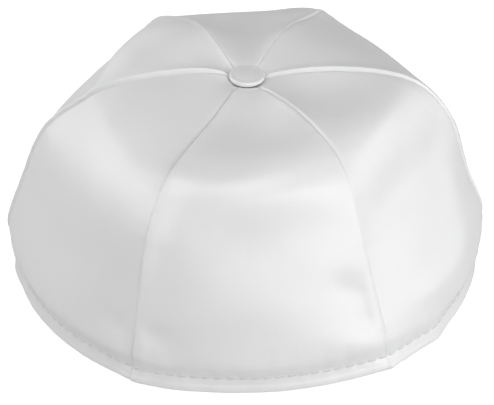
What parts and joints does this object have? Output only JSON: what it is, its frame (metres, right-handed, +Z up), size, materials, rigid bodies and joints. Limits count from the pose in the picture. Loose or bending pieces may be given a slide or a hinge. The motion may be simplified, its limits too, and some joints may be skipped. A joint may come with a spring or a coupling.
{
  "type": "kippah skullcap",
  "caption": "Dome skullcap of satin gores sewn edge to edge, with a covered button at the crown and a turned, topstitched rim, standing open side down.",
  "frame": {"origin": "centre of the rim, on the surface that the cap stands on", "axes": "+Z up through the button, -Y towards the front panel, +X to the right of the front panel as seen from outside"},
  "size_m": [0.1737, 0.1693, 0.0791],
  "materials": {
    "satin": "white polyester satin, warp floats running from crown to rim",
    "button_satin": "the same satin drawn tight over a button"
  },
  "bodies": {
    "root": {"panel_front": "satin", "panel_front_right": "satin", "panel_back_right": "satin", "panel_back": "satin", "panel_back_left": "satin", "panel_front_left": "satin", "crown_button": "button_satin"}
  },
  "joints": []
}
